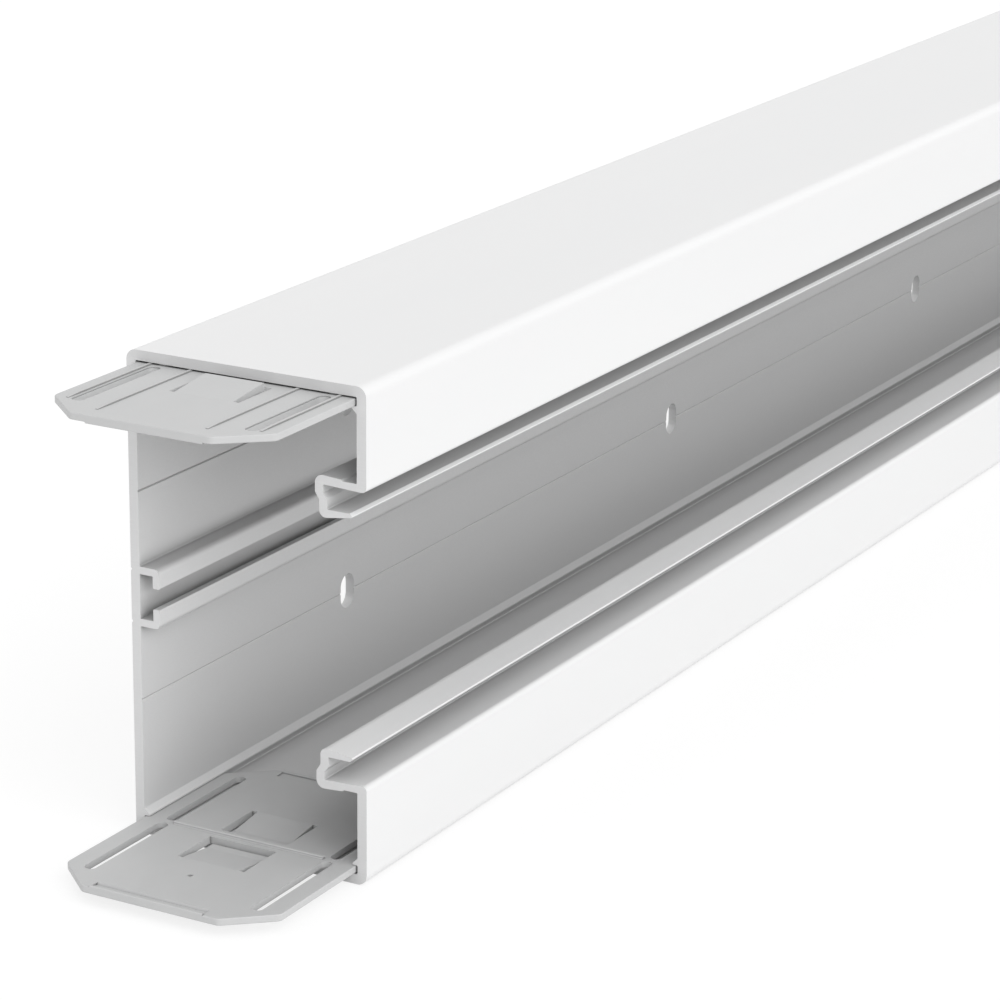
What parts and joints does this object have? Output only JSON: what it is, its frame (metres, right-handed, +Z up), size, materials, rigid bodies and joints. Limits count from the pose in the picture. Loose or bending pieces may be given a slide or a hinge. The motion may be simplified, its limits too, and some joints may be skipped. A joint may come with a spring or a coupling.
{
  "type": "cable trunking",
  "caption": "Open-fronted plastic cable trunking with snap lips, a C-shaped back rail, wall fixing slots and sliding coupler plates in its end guides.",
  "frame": {"origin": "middle of the bottom wall's outer face", "axes": "+X along the trunking, away from the end with the couplers; +Y through the back wall, towards the wall it is fixed to; the open front faces -Y; +Z up"},
  "size_m": [2.045, 0.07, 0.13],
  "materials": {
    "white_trunking_plastic": "satin white extruded plastic",
    "grey_coupler_plastic": "matte light grey moulded plastic"
  },
  "bodies": {
    "trunking": {"trunking_profile": "white_trunking_plastic"},
    "lower_plate": {"lower_coupler": "grey_coupler_plastic"},
    "upper_plate": {"upper_coupler": "grey_coupler_plastic"}
  },
  "joints": [
    {"name": "lower_coupler_slide", "type": "slide", "parent": "trunking", "child": "lower_plate", "axis": [-1, 0, 0], "range_m": [0, 0.034]},
    {"name": "upper_coupler_slide", "type": "slide", "parent": "trunking", "child": "upper_plate", "axis": [-1, 0, 0], "range_m": [0, 0.034]}
  ]
}
